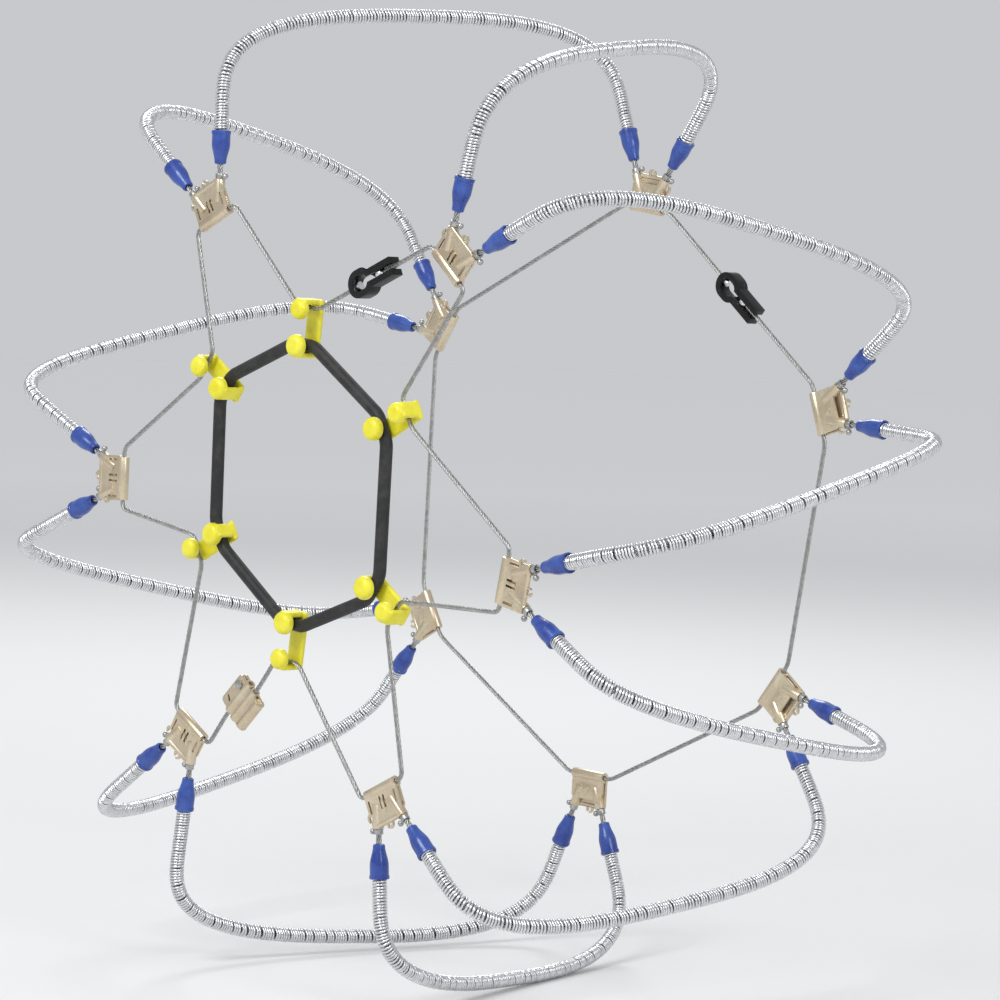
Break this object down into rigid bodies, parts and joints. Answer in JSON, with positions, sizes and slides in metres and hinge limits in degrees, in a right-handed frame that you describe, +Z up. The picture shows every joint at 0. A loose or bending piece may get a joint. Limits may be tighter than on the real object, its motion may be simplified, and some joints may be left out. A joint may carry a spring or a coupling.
{
  "type": "tire snow chains",
  "caption": "Cable tire chain for one wheel: coil-covered cross cables zigzag over the tread between clamps on two side cables, pulled tight by a rubber ring with hooks.",
  "frame": {"origin": "centre of the tyre that the chain is fitted to: on the axle line, midway between its sidewalls", "axes": "+Y along the axle towards the vehicle (the outer side with the tensioner is at -Y), +Z up, +X to the right seen from the outer side"},
  "size_m": [0.8504, 0.4056, 0.8524],
  "materials": {
    "zinc_gold": "yellow zinc on stamped steel, satin",
    "cable_steel": "galvanised wire rope",
    "coil_steel": "bright zinc-plated coiled wire",
    "blue_plastic": "moulded, semi-gloss",
    "yellow_plastic": "moulded, semi-gloss",
    "black_rubber": "smooth moulded rubber",
    "black_steel": "black coated steel"
  },
  "bodies": {
    "chain": {"outer_clamp_1": "zinc_gold", "outer_clamp_2": "zinc_gold", "outer_clamp_3": "zinc_gold", "outer_clamp_4": "zinc_gold", "outer_clamp_5": "zinc_gold", "outer_clamp_6": "zinc_gold", "inner_clamp_1": "zinc_gold", "inner_clamp_2": "zinc_gold", "inner_clamp_3": "zinc_gold", "inner_clamp_4": "zinc_gold", "inner_clamp_5": "zinc_gold", "inner_clamp_6": "zinc_gold", "cross_cable_01": "cable_steel", "cross_cable_02": "cable_steel", "cross_cable_03": "cable_steel", "cross_cable_04": "cable_steel", "cross_cable_05": "cable_steel", "cross_cable_06": "cable_steel", "cross_cable_07": "cable_steel", "cross_cable_08": "cable_steel", "cross_cable_09": "cable_steel", "cross_cable_10": "cable_steel", "cross_cable_11": "cable_steel", "cross_cable_12": "cable_steel", "traction_coil_01": "coil_steel", "traction_coil_02": "coil_steel", "traction_coil_03": "coil_steel", "traction_coil_04": "coil_steel", "traction_coil_05": "coil_steel", "traction_coil_06": "coil_steel", "traction_coil_07": "coil_steel", "traction_coil_08": "coil_steel", "traction_coil_09": "coil_steel", "traction_coil_10": "coil_steel", "traction_coil_11": "coil_steel", "traction_coil_12": "coil_steel", "outer_sleeves": "blue_plastic", "inner_sleeves": "blue_plastic", "outer_ferrules": "cable_steel", "inner_ferrules": "cable_steel", "outer_side_cable_a": "cable_steel", "outer_side_cable_b": "cable_steel", "inner_side_cable": "cable_steel", "splice_plate": "zinc_gold", "splice_rivet": "cable_steel", "outer_ball_end": "cable_steel", "inner_ball_end": "cable_steel", "outer_cable_stop": "cable_steel", "inner_cable_stop": "cable_steel", "tensioner_ring": "black_rubber"},
    "hook_1": {"tensioner_hook_1": "yellow_plastic"},
    "hook_2": {"tensioner_hook_2": "yellow_plastic"},
    "hook_3": {"tensioner_hook_3": "yellow_plastic"},
    "hook_4": {"tensioner_hook_4": "yellow_plastic"},
    "hook_5": {"tensioner_hook_5": "yellow_plastic"},
    "hook_6": {"tensioner_hook_6": "yellow_plastic"},
    "fastener_outer": {"outer_fastener": "black_steel"},
    "fastener_inner": {"inner_fastener": "black_steel"}
  },
  "joints": [
    {"name": "hook_1_swing", "type": "hinge", "parent": "chain", "child": "hook_1", "pos_m": [0.00225, -0.191, 0.12898], "axis": [-0.9959, 0, 0.0901], "range_deg": [-6, 6]},
    {"name": "hook_2_swing", "type": "hinge", "parent": "chain", "child": "hook_2", "pos_m": [0.10261, -0.191, 0.06412], "axis": [-0.4666, 0, 0.8845], "range_deg": [-6, 6]},
    {"name": "hook_3_swing", "type": "hinge", "parent": "chain", "child": "hook_3", "pos_m": [0.09912, -0.191, -0.0694], "axis": [0.5752, 0, 0.818], "range_deg": [-6, 6]},
    {"name": "hook_4_swing", "type": "hinge", "parent": "chain", "child": "hook_4", "pos_m": [0, -0.191, -0.108], "axis": [0.9931, 0, -0.1177], "range_deg": [-6, 6]},
    {"name": "hook_5_swing", "type": "hinge", "parent": "chain", "child": "hook_5", "pos_m": [-0.09828, -0.191, -0.03971], "axis": [0.4601, 0, -0.8879], "range_deg": [-6, 6]},
    {"name": "hook_6_swing", "type": "hinge", "parent": "chain", "child": "hook_6", "pos_m": [-0.09735, -0.191, 0.08766], "axis": [-0.5584, 0, -0.8296], "range_deg": [-6, 6]},
    {"name": "outer_fastener_swivel", "type": "hinge", "parent": "chain", "child": "fastener_outer", "pos_m": [0.0857, -0.191, 0.18829], "axis": [0.9197, 0, 0.3927], "continuous": true},
    {"name": "inner_fastener_swivel", "type": "hinge", "parent": "chain", "child": "fastener_inner", "pos_m": [0.14883, 0.191, 0.18379], "axis": [0.7771, 0, -0.6293], "continuous": true}
  ]
}
